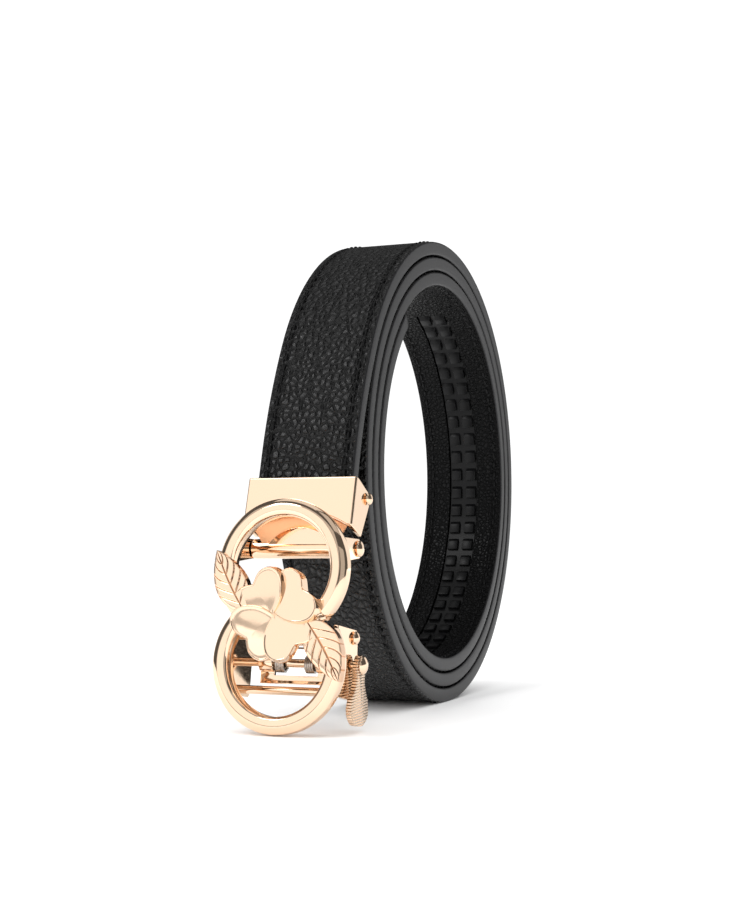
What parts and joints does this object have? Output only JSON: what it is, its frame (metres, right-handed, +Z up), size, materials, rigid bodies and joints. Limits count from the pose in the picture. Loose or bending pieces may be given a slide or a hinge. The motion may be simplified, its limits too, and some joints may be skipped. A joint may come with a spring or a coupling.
{
  "type": "ratchet belt",
  "caption": "Women's ratchet belt: a leather strap wound into a coil that stands on its edge, with a hinged cast face of two rings, a flower and two leaves.",
  "frame": {"origin": "on the ground, in the middle of the belt's bounding box", "axes": "+Z up, X along the coil's axis and across the strap, -Y towards the buckle's face"},
  "size_m": [0.033, 0.1496, 0.1239],
  "materials": {
    "black_leather": "black pebbled leather with satin dark grey painted edges and two rows of black stitching",
    "black_nylon": "moulded black nylon",
    "rose_gold": "mirror polished rose gold plating on a zinc casting",
    "spring_steel": "plain drawn spring wire"
  },
  "bodies": {
    "belt": {"strap": "black_leather", "ratchet_track": "black_nylon", "clamp_shell": "rose_gold", "jaw_pin": "rose_gold"},
    "jaw": {"clamp_jaw": "rose_gold"},
    "buckle": {"face_casting": "rose_gold", "hinge_rod": "rose_gold", "bottom_bar": "rose_gold", "stop_pin": "rose_gold", "torsion_spring": "spring_steel"},
    "release": {"pawl": "rose_gold", "pawl_shaft": "rose_gold", "release_lever": "rose_gold"}
  },
  "joints": [
    {"name": "buckle_hinge", "type": "hinge", "parent": "belt", "child": "buckle", "pos_m": [-0.00068, -0.05674, 0.04102], "axis": [-1, 0, 0], "range_deg": [-25, 18]},
    {"name": "release_pivot", "type": "hinge", "parent": "buckle", "child": "release", "pos_m": [-0.00068, -0.05993, 0.01502], "axis": [1, 0, 0], "range_deg": [0, 15], "stiffness_Nm_per_rad": 0.002, "springref_deg": -22.92},
    {"name": "jaw_pivot", "type": "hinge", "parent": "belt", "child": "jaw", "pos_m": [-0.00068, -0.05078, 0.05253], "axis": [1, 0, 0], "range_deg": [0, 40]}
  ]
}
